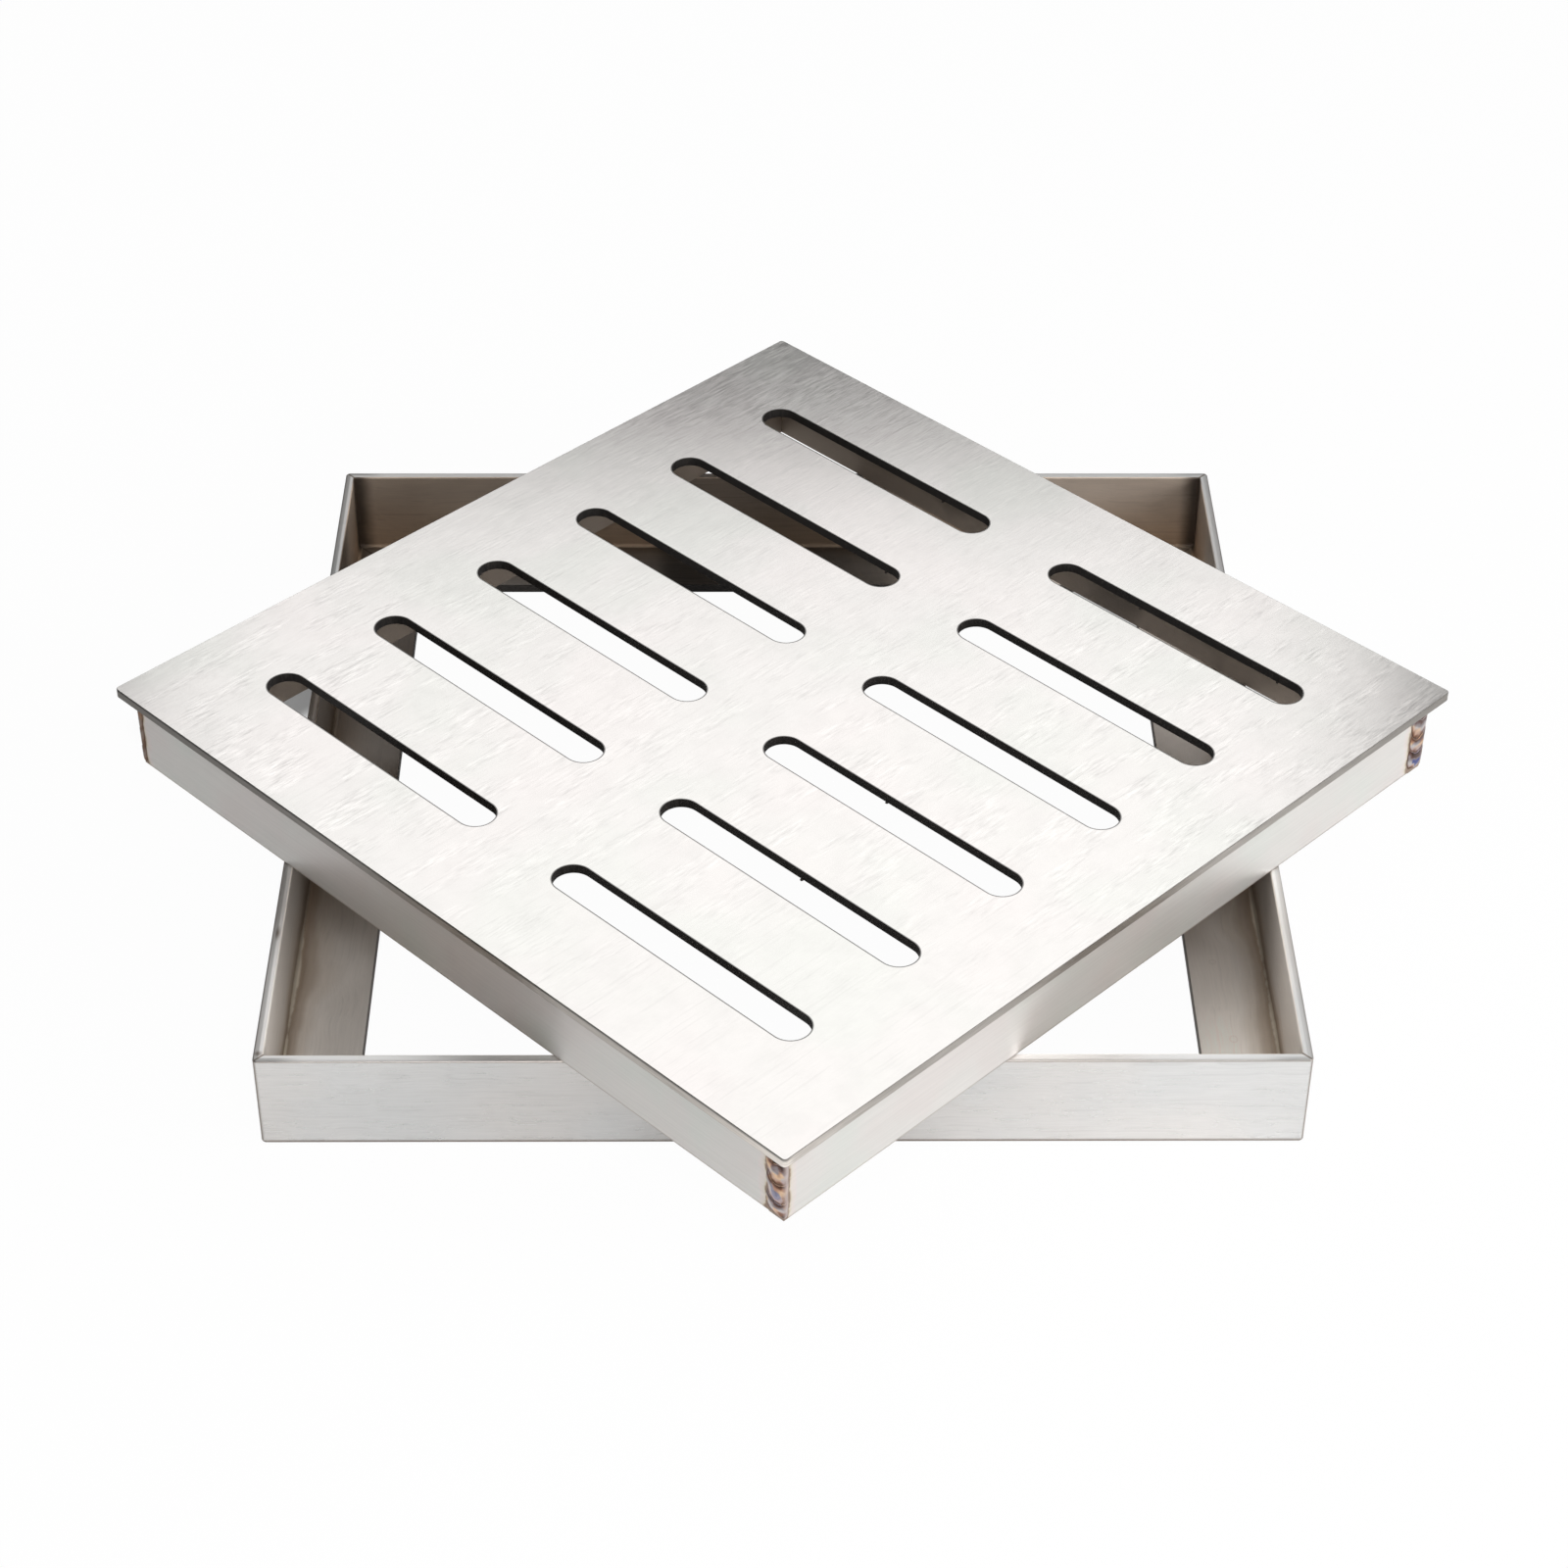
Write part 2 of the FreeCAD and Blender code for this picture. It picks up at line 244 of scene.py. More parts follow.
def makeCamera():
    data = bpy.data.cameras.new("photoCamera")
    data.sensor_width = 36.0
    data.lens = photoCamera["focalPixels"] * data.sensor_width / photoCamera["pictureWidth"]
    turn, tilt, roll = (math.radians(photoCamera[key]) for key in ("turnRight", "tiltDown", "roll"))
    ahead = Vector((math.sin(turn) * math.cos(tilt), math.cos(turn) * math.cos(tilt), -math.sin(tilt)))
    right = Vector((math.cos(turn), -math.sin(turn), 0.0))
    up = right.cross(ahead)
    acrossAxis = right * math.cos(roll) + up * math.sin(roll)
    upAxis = up * math.cos(roll) - right * math.sin(roll)
    camera = newObject("photoCamera", data)
    camera.matrix_world = Matrix.Translation(photoCamera["place"]) @ Matrix(
        (acrossAxis, upAxis, -ahead)).transposed().to_4x4()
    bpy.context.scene.camera = camera


def lightPath(tree):
    # the kinds of ray, and whether one comes straight from the camera
    path = namedValues(tree.nodes.new("ShaderNodeLightPath"))
    return path, larger(path["Is Camera Ray"], path["Is Transmission Ray"])


def makeFloor():
    # a plain pale table top, wide enough for low views
    half = 6.0
    mesh = bpy.data.meshes.new("floor")
    corners = [(-half, -half, 0), (half, -half, 0), (half, half, 0), (-half, half, 0)]
    mesh.from_pydata(corners, [], [(0, 1, 2, 3)])
    floor = newObject("floor", mesh)
    material = bpy.data.materials.new("paleFloor")
    material.use_nodes = True
    tree = material.node_tree
    tree.nodes.clear()
    white = valueOf(tree, "ShaderNodeEmission", {"Color": (1, 1, 1, 1), "Strength": 1.0})
    path, direct = lightPath(tree)
    mirrored = path["Is Glossy Ray"] * studio["floorGlowInSteel"]
    # little light reaches the floor along the lid's two far sides
    x, y, z = splitXyz(turnedPlace(tree, lidAngle))
    outwards, sideways = larger(x, y), smaller(x, y)
    band = (span(outwards, lidReach + 0.006, lidReach + 0.018)
            * fade(outwards, lidReach + 0.034, lidReach + 0.056))
    band *= span(sideways, -0.8 * lidReach, -0.55 * lidReach)
    band *= fade(sideways, 0.3 * lidReach, 0.8 * lidReach)
    # at the left only outside the frame
    inFrame = splitXyz(turnedPlace(tree, 0.0, frameMiddle))
    outside = larger(abs(inFrame[0]), abs(inFrame[1])) > frameReach - 0.01
    band *= larger(outside, span(inFrame[0], 0.0, 0.03))
    band *= span(inFrame[0], -0.1, 0.0, 1.0, 0.75)
    shaded = 1.0 - band * studio["shadeUnderLid"]
    tone = span(shaded, 0.0, 1.0, 0.4, 1.0) * studio["floorTone"]
    matt = valueOf(tree, "ShaderNodeBsdfDiffuse", {"Color": joinXyz(tone, tone, tone)})
    glow = direct * studio["floorGlow"] * shaded
    glow = larger(glow, mirrored)
    mixed = valueOf(tree, "ShaderNodeMixShader", {0: glow, 1: matt, 2: white})
    addNode(tree, "ShaderNodeOutputMaterial", {"Surface": mixed})
    mesh.materials.append(material)


def makeSky():
    # a pale room, darker to the left and low down behind the table; straight rays see plain white
    world = bpy.data.worlds.new("studio")
    bpy.context.scene.world = world
    world.use_nodes = True
    tree = world.node_tree
    tree.nodes.clear()
    x, y, z = splitXyz(valueOf(tree, "ShaderNodeTexCoord", key="Generated"))
    height = calc("DEGREES", calc("ARCSINE", z))
    flat = calc("SQRT", x * x + y * y)
    behind = span(y / larger(flat, 0.001), 0.55, 0.9)
    low = fade(height, 31.0, 35.0)
    dark = behind * low
    level = span(x, -0.8, 0.8, studio["skyLeft"], studio["skyRight"], "LINEAR")
    even = joinXyz(level, level, level * 0.985)
    shade = blendColour(dark, even, (studio["darkBackLevel"],) * 3 + (1,))
    path, direct = lightPath(tree)
    colour = blendColour(direct, shade, (1, 1, 1, 1))
    background = valueOf(tree, "ShaderNodeBackground", {"Color": colour, "Strength": 1.0})
    addNode(tree, "ShaderNodeOutputWorld", {"Surface": background})


def makeSoftBox(name, place, size, power):
    lamp = bpy.data.lights.new(name, "AREA")
    lamp.shape = "RECTANGLE"
    lamp.size, lamp.size_y = size
    lamp.energy = power
    box = newObject(name, lamp)
    aim = Vector((0, 0, rimTop)) - Vector(place)
    box.matrix_world = Matrix.Translation(place) @ aim.to_track_quat("-Z", "Y").to_matrix().to_4x4()
    box.visible_camera = False


def makeStudio():
    makeCamera()
    makeFloor()
    makeSky()
    for name, (place, size, power) in studio["softBoxes"].items():
        makeSoftBox(name, place, size, power)
    bpy.context.scene.view_settings.view_transform = "Standard"
    print("studio ready")


# Shared surface effects

def brushGrainGroup():
    # fine brushed lines along X of the vector: short streaks, finer ones between, and long faint ones
    group, given, out = newGroup("brushGrain", [
        ("Vector", "Vector"),
        ("Streak Length", "Float", 0.016),
        ("Streak Width", "Float", 0.0005),
    ], [("Grain", "Float"), ("Long Lines", "Float")])
    x, y, z = splitXyz(given["Vector"])

    def streaks(lengthShare, widthShare, shift, detail):
        along = x / (given["Streak Length"] * lengthShare)
        width = given["Streak Width"] * widthShare
        across = y / width
        up = z / width + shift
        return noiseAt(joinXyz(along, across, up), 1.0, detail, 0.6)

    coarse = streaks(1.0, 1.0, 3.7, 0.5)
    fine = streaks(0.5, 0.4, 11.3, 1.0)
    longLines = streaks(4.0, 1.3, 29.1, 0.0)
    grain = coarse * 0.5 + fine * 0.5
    plug(out["Grain"], grain)
    plug(out["Long Lines"], span(longLines, 0.62, 0.78))
    return group


def cloudingGroup():
    # faint marks of handling and polishing, from large soft clouds to small blotches
    group, given, out = newGroup("clouding", [
        ("Vector", "Vector"),
        ("Size", "Float", 0.05),
    ], [("Clouds", "Float"), ("Blotches", "Float")])
    scale = 1.0 / given["Size"]
    clouds = noiseAt(given["Vector"], scale, 2.0, 0.5)
    blotches = noiseAt(given["Vector"], scale * 6.0, 3.0, 0.6)
    plug(out["Clouds"], span(clouds, 0.3, 0.7))
    plug(out["Blotches"], span(blotches, 0.35, 0.75))
    return group


def heatTintGroup():
    # the colours that welding leaves on bare steel, by the distance from the weld's edge
    group, given, out = newGroup("heatTint", [
        ("Distance", "Float", 1.0),
        ("Reach", "Float", 0.005),
        ("Steel", "Color", (0.7, 0.7, 0.7, 1)),
    ], [("Colour", "Color"), ("Amount", "Float")])
    share = given["Distance"] / given["Reach"]
    tint = colourRamp(share, [
        (0.00, (0.30, 0.22, 0.17)), (0.07, (0.54, 0.45, 0.35)), (0.16, (0.68, 0.63, 0.54)),
        (0.34, (0.72, 0.665, 0.63)), (0.70, (0.73, 0.67, 0.655)), (1.00, (0.72, 0.69, 0.67))])
    amount = fade(share, 0.5, 1.0)
    plug(out["Colour"], blendColour(amount, given["Steel"], tint))
    plug(out["Amount"], amount)
    return group


def scuffGroup():
    # a small mark round a point: a ring, or a spot where the radius is nothing
    group, given, out = newGroup("scuff", [
        ("Vector", "Vector"),
        ("Centre", "Vector"),
        ("Stretch", "Vector", (1, 1, 1)),
        ("Radius", "Float", 0.001),
        ("Line Width", "Float", 0.0004),
    ], [("Mark", "Float")])
    offset = vectorCalc("SUBTRACT", given["Vector"], given["Centre"])
    far = vectorCalc("LENGTH", vectorCalc("MULTIPLY", offset, given["Stretch"]), key="Value")
    off = abs(far - given["Radius"])
    plug(out["Mark"], fade(off, 0.0, given["Line Width"]))
    return group


effects = {"grain": brushGrainGroup(), "clouding": cloudingGroup(), "tint": heatTintGroup(),
           "scuff": scuffGroup()}


# Finishes

steelTone = (0.80, 0.778, 0.760)
noiseRange = (0.3, 0.7)          # where nearly all values of a noise lie

plate = {
    "slotWidth": 12 * mm,
    "slotsInRow": 6,
    "slotSideMargin": 37.5 * mm,
    "slotEndMargin": 30 * mm,
    "slotRowGap": 30 * mm,
    "slotShift": 0.8 * mm,       # the rows stand this far off the middle
    "easedEdge": 0.22 * mm,
    "streakLength": 7 * mm,
    "streakWidth": 1.0 * mm,
    "cloudSize": 60 * mm,
    "grainDepth": 0.10,          # how far the streaks lighten and darken the steel
    "roughness": 0.16,
    "burrLine": 0.32 * mm,       # the dull line round each slot
    "arcPoints": 14,             # points of each quarter of a slot's end
    "paleEdge": (0.18, 0.17, 0.16, 1),
}


def slotValues():
    slotLength = lidReach - plate["slotEndMargin"] - plate["slotRowGap"] / 2
    return {
        "Slot Width": plate["slotWidth"],
        "Slot Length": slotLength,
        "Slots In Row": plate["slotsInRow"],
        "Row Length": 2 * (lidReach - plate["slotSideMargin"]),
        "Row Spacing": slotLength + plate["slotRowGap"],
        "Row Shift": plate["slotShift"],
    }


def newMaterial(name, metallic=1.0):
    # the material, its tree and the inputs of its shader
    material = bpy.data.materials.new(name)
    material.use_nodes = True
    surface = material.node_tree.nodes["Principled BSDF"].inputs
    surface["Metallic"].default_value = metallic
    return material, material.node_tree, surface


def brushGrain(place, look):
    # the grain and its long lines
    return useGroup(effects["grain"], Vector=place,
                    StreakLength=look["streakLength"], StreakWidth=look["streakWidth"])


def addBump(surface, height, strength, distance):
    sockets = {"Height": height, "Strength": strength, "Distance": distance}
    plug(surface["Normal"], valueOf(height.tree, "ShaderNodeBump", sockets))


def objectPlace(tree):
    return valueOf(tree, "ShaderNodeTexCoord", key="Object")


def turnedPlace(tree, angle, middle=(0, 0, 0)):
    # object coordinates about a middle point, turned so that X runs at that angle
    sockets = {"Vector": objectPlace(tree), "Location": tuple(middle), "Rotation": (0, 0, angle)}
    return valueOf(tree, "ShaderNodeMapping", sockets, vector_type="TEXTURE")


def scaledGrey(colour, factor):
    return blendColour(1.0, colour, joinXyz(factor, factor, factor), "MULTIPLY")


def slotBurr(x, y):
    # a thin line on the plate's face round every slot
    slots = slotValues()
    radius = slots["Slot Width"] / 2
    pitch = slots["Row Length"] / (slots["Slots In Row"] - 1)
    fromShift = x - slots["Row Shift"]
    # an even number of slots stands at half pitches, and an odd one at whole ones
    step = fromShift / pitch + 0.5 * (slots["Slots In Row"] % 2)
    across = (calc("FRACT", step) - 0.5) * pitch
    fromRow = abs(y) - slots["Row Spacing"] / 2
    past = abs(fromRow) - (slots["Slot Length"] / 2 - radius)
    corner = joinXyz(across, larger(past, 0.0), 0.0)
    far = vectorCalc("LENGTH", corner, key="Value")
    outside = far - (radius + plate["easedEdge"])
    line = fade(outside, 0.4 * plate["burrLine"], plate["burrLine"])
    inRow = abs(fromShift) < slots["Row Length"] / 2 + pitch / 3
    return line * inRow


def plateFinish():
    material, tree, surface = newMaterial("brushedPlate")
    place = turnedPlace(tree, lidAngle)
    grain, longLines = brushGrain(place, plate)
    clouds, blotches = useGroup(effects["clouding"], Vector=place, Size=plate["cloudSize"])
    # the strokes are strong in some patches and nearly gone in others
    x, y, z = splitXyz(place)
    patches = noiseAt(joinXyz(x * 40.0, y * 130.0, z), 1.0, 1.0)
    depth = span(patches, 0.38, 0.62, 0.25 * plate["grainDepth"], 1.5 * plate["grainDepth"])
    # they are strong at the left and right corners, and faint at the far and near ones
    sideways, inDepth = x - y, x + y
    depth *= span(abs(sideways), 0.3 * lidReach, 1.7 * lidReach, 1.0, 1.7)
    depth *= span(inDepth, -1.7 * lidReach, -0.4 * lidReach, 0.2, 1.0)
    depth *= span(inDepth, 0.2 * lidReach, 1.5 * lidReach, 1.0, 0.45)
    stroke = span(grain, *noiseRange, -1.0, 1.0, "LINEAR")
    lightness = 1.0 + stroke * depth
    lightness -= longLines * 0.03
    lightness -= blotches * 0.04
    tone = colourRamp(clouds, [
        (0.0, (0.805, 0.772, 0.757)), (0.5, steelTone), (1.0, (0.79, 0.785, 0.757))])
    # painted shade: the plate is darker towards its right corner
    lightness *= span(sideways, 0.9 * lidReach, 1.9 * lidReach, 1.0, 0.94)
    lightness *= 1.0 - slotBurr(x, y) * 0.7
    plug(surface["Base Color"], scaledGrey(tone, lightness))
    rough = span(grain, *noiseRange, plate["roughness"] - 0.03, plate["roughness"] + 0.03)
    rough += clouds * 0.03
    plug(surface["Roughness"], rough)
    addBump(surface, grain, 0.2, 0.00003)
    return material


def cutWallFinish():
    # the laser's cut: oxidised nearly black, with upright striations
    material, tree, surface = newMaterial("burntCut", 0.4)
    place = turnedPlace(tree, lidAngle)
    x, y, z = splitXyz(place)
    lines = noiseAt(joinXyz(x * 2600.0, y * 2600.0, z * 260.0), 1.0, 2.0)
    plug(surface["Base Color"], colourRamp(lines, [
        (0.30, (0.009, 0.008, 0.007)), (0.72, (0.024, 0.020, 0.018))]))
    plug(surface["Roughness"], span(lines, *noiseRange, 0.5, 0.6))
    return material


def shearedEdgeFinish():
    # the plate's outer edge: grey, drawn along its length
    material, tree, surface = newMaterial("plateEdge")
    place = turnedPlace(tree, lidAngle)
    x, y, z = splitXyz(place)
    lines = noiseAt(joinXyz(x * 90.0, y * 90.0, z * 4000.0), 1.0, 2.0)
    grey = colourRamp(lines, [(0.30, (0.35, 0.325, 0.30)), (0.72, (0.50, 0.47, 0.44))])
    # the left side grows darker towards the left corner, the front side towards the right one
    left = fade(x, 0.001 - lidReach, 0.004 - lidReach)
    darker = left * span(y, -0.4 * lidReach, 0.7 * lidReach, -0.3, 0.5)
    darker += span(x, 0.2 * lidReach, lidReach, 0.0, 0.3)
    darker -= fade(y, 0.001 - lidReach, 0.004 - lidReach, 0.02)
    # painted highlight: the corner towards the viewer is brighter
    toNear = larger(x, y)
    nearCornerHighlight = span(toNear, -lidReach, -0.7 * lidReach, 1.5, 1.0)
    factor = (1.0 - darker) * nearCornerHighlight
    # a black line runs under the top face, strongest on the left side
    underTop = span(z, lidTop - 0.0010, lidTop - 0.0006)
    underTop *= 0.1 + left * 0.5
    factor *= 1.0 - underTop
    plug(surface["Base Color"], scaledGrey(grey, factor))
    plug(surface["Roughness"], span(lines, *noiseRange, 0.3, 0.45))
    return material


def easedEdgeFinish():
    # the thin burr line where the plate's faces meet its edges
    material, tree, surface = newMaterial("easedEdge")
    place = turnedPlace(tree, lidAngle)
    spots = noiseAt(place, 240.0, 2.0)
    dark = colourRamp(spots, [(0.35, (0.012, 0.010, 0.009)), (0.65, (0.045, 0.040, 0.036))])
    # it is paler along the side that faces front and right
    pale = fade(splitXyz(place)[1], 0.001 - lidReach, 0.004 - lidReach)
    plug(surface["Base Color"], blendColour(pale, dark, plate["paleEdge"]))
    plug(surface["Roughness"], span(spots, *noiseRange, 0.45, 0.6))
    return material


skirtLook = {
    "roughness": 0.42,
    "metallic": 0.70,            # less than bare metal, so that it scatters some light
    "tintReach": 3.4 * mm,       # how far the colours run from a corner weld
    "wideBead": 7 * mm,
    "beadReturn": 1.5 * mm,
    "streakLength": 30 * mm,
    "streakWidth": 0.6 * mm,
    "cloudSize": 35 * mm,
    "browned": ((0.13, 0.108, 0.092, 1), (0.42, 0.355, 0.30, 1)),   # at its darkest and palest
}


def skirtFinish():
    material, tree, surface = newMaterial("satinSkirt", skirtLook["metallic"])
    place = turnedPlace(tree, lidAngle)
    x, y, z = splitXyz(place)
    clouds, blotches = useGroup(effects["clouding"], Vector=place, Size=skirtLook["cloudSize"])
    sideX, sideY = abs(x), abs(y)
    # the way along each face, to the corner where the bead is wide
    onY = sideY > sideX
    alongY = calc("SIGN", y) * -1.0 * x
    alongX = calc("SIGN", x) * y
    along = onY * alongY + (1.0 - onY) * alongX
    reach = larger(sideX, sideY)
    grain = brushGrain(joinXyz(along, reach, z), skirtLook)[0]
    fromWide = skirtReach - skirtLook["wideBead"] - along
    fromReturn = along + (skirtReach - skirtLook["beadReturn"])
    ragged = (blotches - 0.4) * 0.0015
    fromWeld = smaller(fromWide, fromReturn) + ragged
    # satin steel that leans now to pink and now to green
    tone = colourRamp(clouds, [
        (0.0, (0.70, 0.662, 0.643)), (0.5, (0.70, 0.682, 0.66)), (1.0, (0.68, 0.686, 0.656))])
    tinted = useGroup(effects["tint"], Distance=fromWeld, Reach=skirtLook["tintReach"], Steel=tone)[0]
    # the inner faces and the edge of the foot are browned
    inner = fade(reach, skirtInner + 0.0010, skirtInner + 0.0035)
    foot = fade(z, skirtFoot + 0.0002, skirtFoot + 0.0010, 0.75)
    lower = span(z, skirtFoot, skirtTop, 1.0, 0.25)
    # the two far bars are paler there
    lower *= span(x, 0.9 * skirtInner, skirtInner, 1.0, 1.6)
    lower += span(y, 0.9 * skirtInner, skirtInner, 0.0, 1.6)
    browned = blendColour(lower * span(clouds, -0.5, 1.0), *skirtLook["browned"])
    colour = blendColour(larger(inner, foot), tinted, browned)
    lightness = span(grain, *noiseRange, 0.95, 1.04, "LINEAR")
    plug(surface["Base Color"], scaledGrey(colour, lightness))
    rough = span(grain, *noiseRange, skirtLook["roughness"] - 0.03, skirtLook["roughness"] + 0.03)
    plug(surface["Roughness"], rough + inner * 0.15)
    addBump(surface, grain, 0.25, 0.00005)
    return material


frameLook = {
    "metallic": 0.78,
    "innerHaze": 0.43,           # how much less metallic the oxidised inner faces are
    "roughness": 0.30,
    "innerRougher": 0.16,
    "rimRougher": 0.10,
    "rootBand": 11 * mm,         # how far the browning runs from the root, up the wall and over the flange
    "cornerShade": 7 * mm,       # how far the painted shade runs from each back corner, along the inner wall
    "backShade": 0.90,           # the inner faces grow browner and darker towards the back: browning with painted shade under the lid
    "seamWidth": 0.5 * mm,
    "streakLength": 22 * mm,
    "streakWidth": 0.7 * mm,
    "cloudSize": 45 * mm,
    "backWall": (105 * mm, 125 * mm),       # its tones set in between these
    "brown": (0.19, 0.125, 0.078, 1),
    "warmStain": (0.87, 0.625, 0.435, 1),
    "burntCorner": (0.035, 0.02, 0.012, 1),
    "shearedToe": (0.15, 0.135, 0.125, 1),
    "wear": (0.17, 0.12, 0.085, 1),
    "scuffs": [                  # place about the frame's middle, ring radius, stretch
        ((131.1 * mm, -75 * mm, 3 * mm), 0.9 * mm, (1, 1, 0)),
        ((133.9 * mm, -109.6 * mm, 3 * mm), 1.1 * mm, (1, 0.8, 0)),
        ((-148.4 * mm, -94.6 * mm, 32 * mm), 0.0, (1, 0.25, 0.5)),
        ((-148.6 * mm, -146.6 * mm, 32 * mm), 0.0, (0.6, 0.6, 0.5)),
    ],
}


def frameFinish(name, grainAngle):
    # mill finish along each side; inside it is duller, and browned beside the root and the corners
    material, tree, surface = newMaterial(name, frameLook["metallic"])
    place = turnedPlace(tree, 0.0, frameMiddle)
    x, y, z = splitXyz(place)
    along = splitXyz(turnedPlace(tree, grainAngle, frameMiddle))
    sway = noiseAt(place, 45.0, 1.0) * 0.005
    swayed = joinXyz(along[0], along[1] + sway, along[2] + sway)
    grain, longLines = brushGrain(swayed, frameLook)
    clouds, blotches = useGroup(effects["clouding"], Vector=place, Size=frameLook["cloudSize"])
    sideX, sideY = abs(x), abs(y)
    ragged = (blotches - 0.5) * 0.0005
    inwards = frameReach - sheet - larger(sideX, sideY)
    inner = span(inwards, -0.0006, -0.0002)
    # brown either side of a paler line in the root
    fromRoot = larger(inwards, z - sheet)
    patchy = span(clouds, 0.0, 1.0, 0.65, 1.5, "LINEAR")
    rootShare = (fromRoot + ragged) / frameLook["rootBand"]
    rootShare *= patchy
    rootColour = colourRamp(rootShare, [
        (0.00, (0.84, 0.77, 0.64)), (0.045, (0.78, 0.70, 0.57)), (0.10, (0.42, 0.335, 0.26)),
        (0.28, (0.58, 0.49, 0.41)), (0.55, (0.83, 0.755, 0.68)), (1.00, (0.95, 0.89, 0.83))])
    # browning with painted shade: the inner faces are browner and darker towards the back and under the lid,
    # less so on the right flange, and painted darkest in the back corners
    farWall = 0.55 - span(x, 0.03, 0.10, 0.0, 0.3)
    farWall = 1.0 - (1.0 - farWall) * span(y, *frameLook["backWall"])
    back = span(y, -0.12, -0.02) * farWall
    paler = span(x, 0.06, 0.12) * span(y, -0.04, 0.02, 0.0, 0.6)
    back *= 1.0 - paler
    # the browning and the painted shade under the lid blend to one dark brown
    brown = back * (frameLook["backShade"] * span(clouds, -1.5, 1.0))
    innerColour = blendColour(brown, rootColour, frameLook["brown"])
    # painted shade: the inner walls darken into their corners, most of all at the back
    fromCorner = frameReach - sheet - smaller(sideX, sideY)
    paintedCornerShade = fade(fromCorner + ragged, 0.001, frameLook["cornerShade"])
    upright = fade(inwards, 0.0004, 0.0012)
    # the back wall is warmer in tone, most of all low down
    warmBack = upright * span(y, *frameLook["backWall"]) * span(z, 0.006, 0.028, 0.9, 0.45)
    innerColour = blendColour(warmBack, innerColour, frameLook["warmStain"])
    paintedCornerShade = paintedCornerShade * upright * span(y, -0.05, 0.05, 0.2, 0.85)
    innerColour = blendColour(paintedCornerShade, innerColour, frameLook["burntCorner"])
    # painted shade: the flange's toe is dark
    toe = span(inwards, flangeWidth - sheet - 0.0004, flangeWidth - sheet - 0.0001)
    innerColour = blendColour(toe, innerColour, frameLook["shearedToe"])
    outerColour = colourRamp(clouds, [(0.0, (0.75, 0.73, 0.715)), (1.0, (0.74, 0.738, 0.734))])
    # painted light and shade: the front is brighter towards its ends and darker in its middle, near the lid
    outerColour = scaledGrey(outerColour, span(sideX, 0.05, 0.13, 0.94, 1.04))
    steel = blendColour(inner, outerColour, innerColour)
    # the mitre's seam, and marks of wear
    fromSeam = abs(sideX - sideY) * halfRoot
    seam = fade(fromSeam, 0.0001, frameLook["seamWidth"], 0.8)
    # dark lines run along the rim's outer edge and the corners, and a painted contact shadow along the heel
    reach = larger(sideX, sideY)
    atOutside = span(reach, frameReach - 0.0011, frameReach - 0.0007)
    rimLine = fade(abs(z - (rimTop - 0.0003)), 0.0001, 0.0004, 0.6)
    heelShadow = fade(z, 0.0007, 0.0018, 0.85)
    arris = span(smaller(sideX, sideY), frameReach - 0.0012, frameReach - 0.0005, 0.0, 0.5)
    lines = larger(larger(rimLine, heelShadow), arris)
    marks = larger(seam, lines * atOutside)
    for centre, radius, stretch in frameLook["scuffs"]:
        mark = useGroup(effects["scuff"], Vector=place, Centre=centre, Stretch=stretch, Radius=radius,
                        LineWidth=0.0005 if radius else 0.0011)[0]
        marks = larger(marks, mark * (0.1 if radius else 0.8))
    # wear on the seam and the scuffs, and the painted shade of the heel line, take one dark colour
    colour = blendColour(marks, steel, frameLook["wear"])
    rim = span(z, rimTop - 0.0005, rimTop - 0.0001)
    lightness = span(grain, *noiseRange, 0.96, 1.04, "LINEAR")
    uneven = 0.04 + inner * 0.05
    lightness -= clouds * uneven
    lightness -= longLines * 0.055
    # painted light and shade on the rim's top: it is lighter, less so at the right and towards the back, and
    # its outer half is darker, most at the left
    rimShadeBySide = span(x, -0.145, -0.135, 0.5, 0.03) + span(x, 0.135, 0.145, 0.0, 0.19)
    dull = span(reach, frameReach - 0.0019, frameReach - 0.0013) * rimShadeBySide
    rimHighlight = span(x, 0.130, 0.145, 0.17, 0.09) - span(y, -0.02, 0.10, 0.0, 0.14)
    lightness += rim * (rimHighlight - dull)
    # painted shade: the back wall is darker under the lid's far corner
    farCornerShade = fade(sideX, 0.036, 0.046) * span(y, 0.10, 0.12)
    lightness *= 1.0 - farCornerShade * 0.3
    # painted shade inside: the walls darken towards the lid and the flange under it, and the flange's toe is
    # painted darker at the left and lighter at the right
    towardsLid = upright * span(y, -0.13, -0.06, 0.0, 0.36)
    atToe = span(inwards, 0.004, 0.016) * span(x, -0.1, 0.1, -0.14, 0.18)
    underLid = fade(x, 0.04, 0.10, 0.45) * span(y, 0.0, 0.06)
    underLid *= 1.0 - upright
    towardsLid += underLid
    shade = inner * (atToe - towardsLid)
    lightness += shade * (1.0 - rim)
    plug(surface["Base Color"], scaledGrey(colour, lightness))
    metal = frameLook["metallic"] - inner * frameLook["innerHaze"]
    plug(surface["Metallic"], metal)
    rough = frameLook["roughness"] + inner * frameLook["innerRougher"]
    rough += rim * frameLook["rimRougher"]
    rough += span(grain, *noiseRange, -0.03, 0.03)
    plug(surface["Roughness"], rough)
    addBump(surface, grain, 0.25, 0.00006)
    return material


